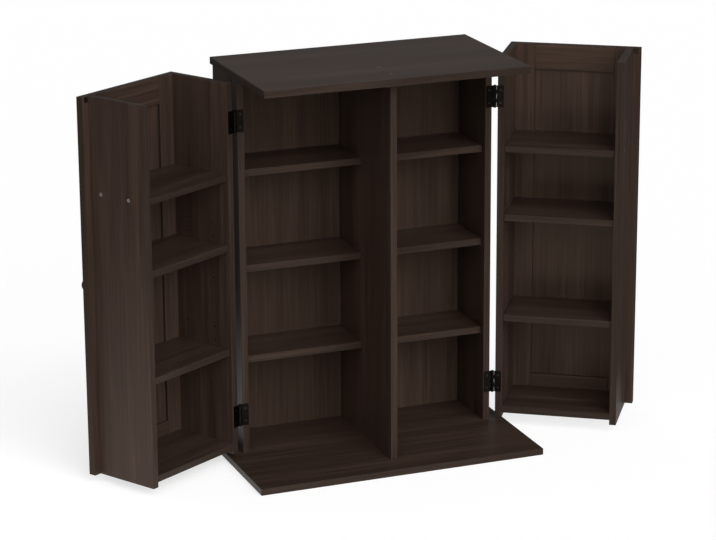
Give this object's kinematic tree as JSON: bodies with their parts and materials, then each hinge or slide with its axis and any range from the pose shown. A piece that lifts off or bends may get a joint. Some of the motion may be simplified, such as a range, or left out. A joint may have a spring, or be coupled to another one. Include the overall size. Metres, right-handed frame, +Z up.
{
  "type": "disc storage cabinet",
  "caption": "Dark laminated disc storage cabinet: shelved carcass on a wide base board, closed by deep hinged doors that carry shelves of their own.",
  "frame": {"origin": "middle of the base board's underside", "axes": "+X to the right seen from the front, +Y to the back, +Z up"},
  "size_m": [1.3461, 0.394, 0.91],
  "materials": {
    "espresso_laminate": "semi-gloss",
    "back_board": "satin",
    "knob_wood": "semi-gloss",
    "beech_dowel": "matte",
    "zinc_steel": "satin",
    "zinc_alloy": "satin",
    "hinge_bronze": "satin",
    "catch_plastic": "matte"
  },
  "bodies": {
    "carcass": {"top_panel": "espresso_laminate", "base_panel": "espresso_laminate", "left_side_panel": "espresso_laminate", "right_side_panel": "espresso_laminate", "center_divider": "espresso_laminate", "back_panel": "back_board", "left_column_shelf_low": "espresso_laminate", "left_column_shelf_mid": "espresso_laminate", "left_column_shelf_high": "espresso_laminate", "right_column_shelf_low": "espresso_laminate", "right_column_shelf_mid": "espresso_laminate", "right_column_shelf_high": "espresso_laminate", "carcass_shelf_pins": "zinc_steel", "carcass_dowels": "beech_dowel", "cam_bolts": "zinc_steel", "cam_discs": "zinc_alloy", "divider_screws": "zinc_steel", "carcass_hinge_leaves": "hinge_bronze", "hinge_pins": "hinge_bronze", "carcass_hinge_screws": "zinc_steel", "magnet_catches": "catch_plastic"},
    "left_door": {"left_door_hinge_stile": "espresso_laminate", "left_door_free_stile": "espresso_laminate", "left_door_top_rail": "espresso_laminate", "left_door_bottom_rail": "espresso_laminate", "left_door_front_panel": "espresso_laminate", "left_door_hinge_side": "espresso_laminate", "left_door_free_side": "espresso_laminate", "left_door_bottom_board": "espresso_laminate", "left_door_upper_shelf": "espresso_laminate", "left_door_middle_shelf": "espresso_laminate", "left_door_lower_shelf": "espresso_laminate", "left_door_shelf_pins": "zinc_steel", "left_door_shelf_screws": "zinc_steel", "left_door_dowels": "beech_dowel", "left_door_knob": "knob_wood", "left_door_knob_bolt": "zinc_steel", "left_door_hinge_leaves": "hinge_bronze", "left_door_hinge_screws": "zinc_steel", "left_door_strike_plate": "hinge_bronze"},
    "right_door": {"right_door_hinge_stile": "espresso_laminate", "right_door_free_stile": "espresso_laminate", "right_door_top_rail": "espresso_laminate", "right_door_bottom_rail": "espresso_laminate", "right_door_front_panel": "espresso_laminate", "right_door_hinge_side": "espresso_laminate", "right_door_free_side": "espresso_laminate", "right_door_bottom_board": "espresso_laminate", "right_door_upper_shelf": "espresso_laminate", "right_door_middle_shelf": "espresso_laminate", "right_door_lower_shelf": "espresso_laminate", "right_door_shelf_pins": "zinc_steel", "right_door_shelf_screws": "zinc_steel", "right_door_dowels": "beech_dowel", "right_door_knob": "knob_wood", "right_door_knob_bolt": "zinc_steel", "right_door_hinge_leaves": "hinge_bronze", "right_door_hinge_screws": "zinc_steel", "right_door_strike_plate": "hinge_bronze"}
  },
  "joints": [
    {"name": "left_door_hinge", "type": "hinge", "parent": "carcass", "child": "left_door", "pos_m": [-0.3135, 0.0273, 0], "axis": [0, 0, -1], "range_deg": [-149.5, 30.5]},
    {"name": "right_door_hinge", "type": "hinge", "parent": "carcass", "child": "right_door", "pos_m": [0.3135, 0.0273, 0], "axis": [0, 0, 1], "range_deg": [-146, 34]}
  ]
}
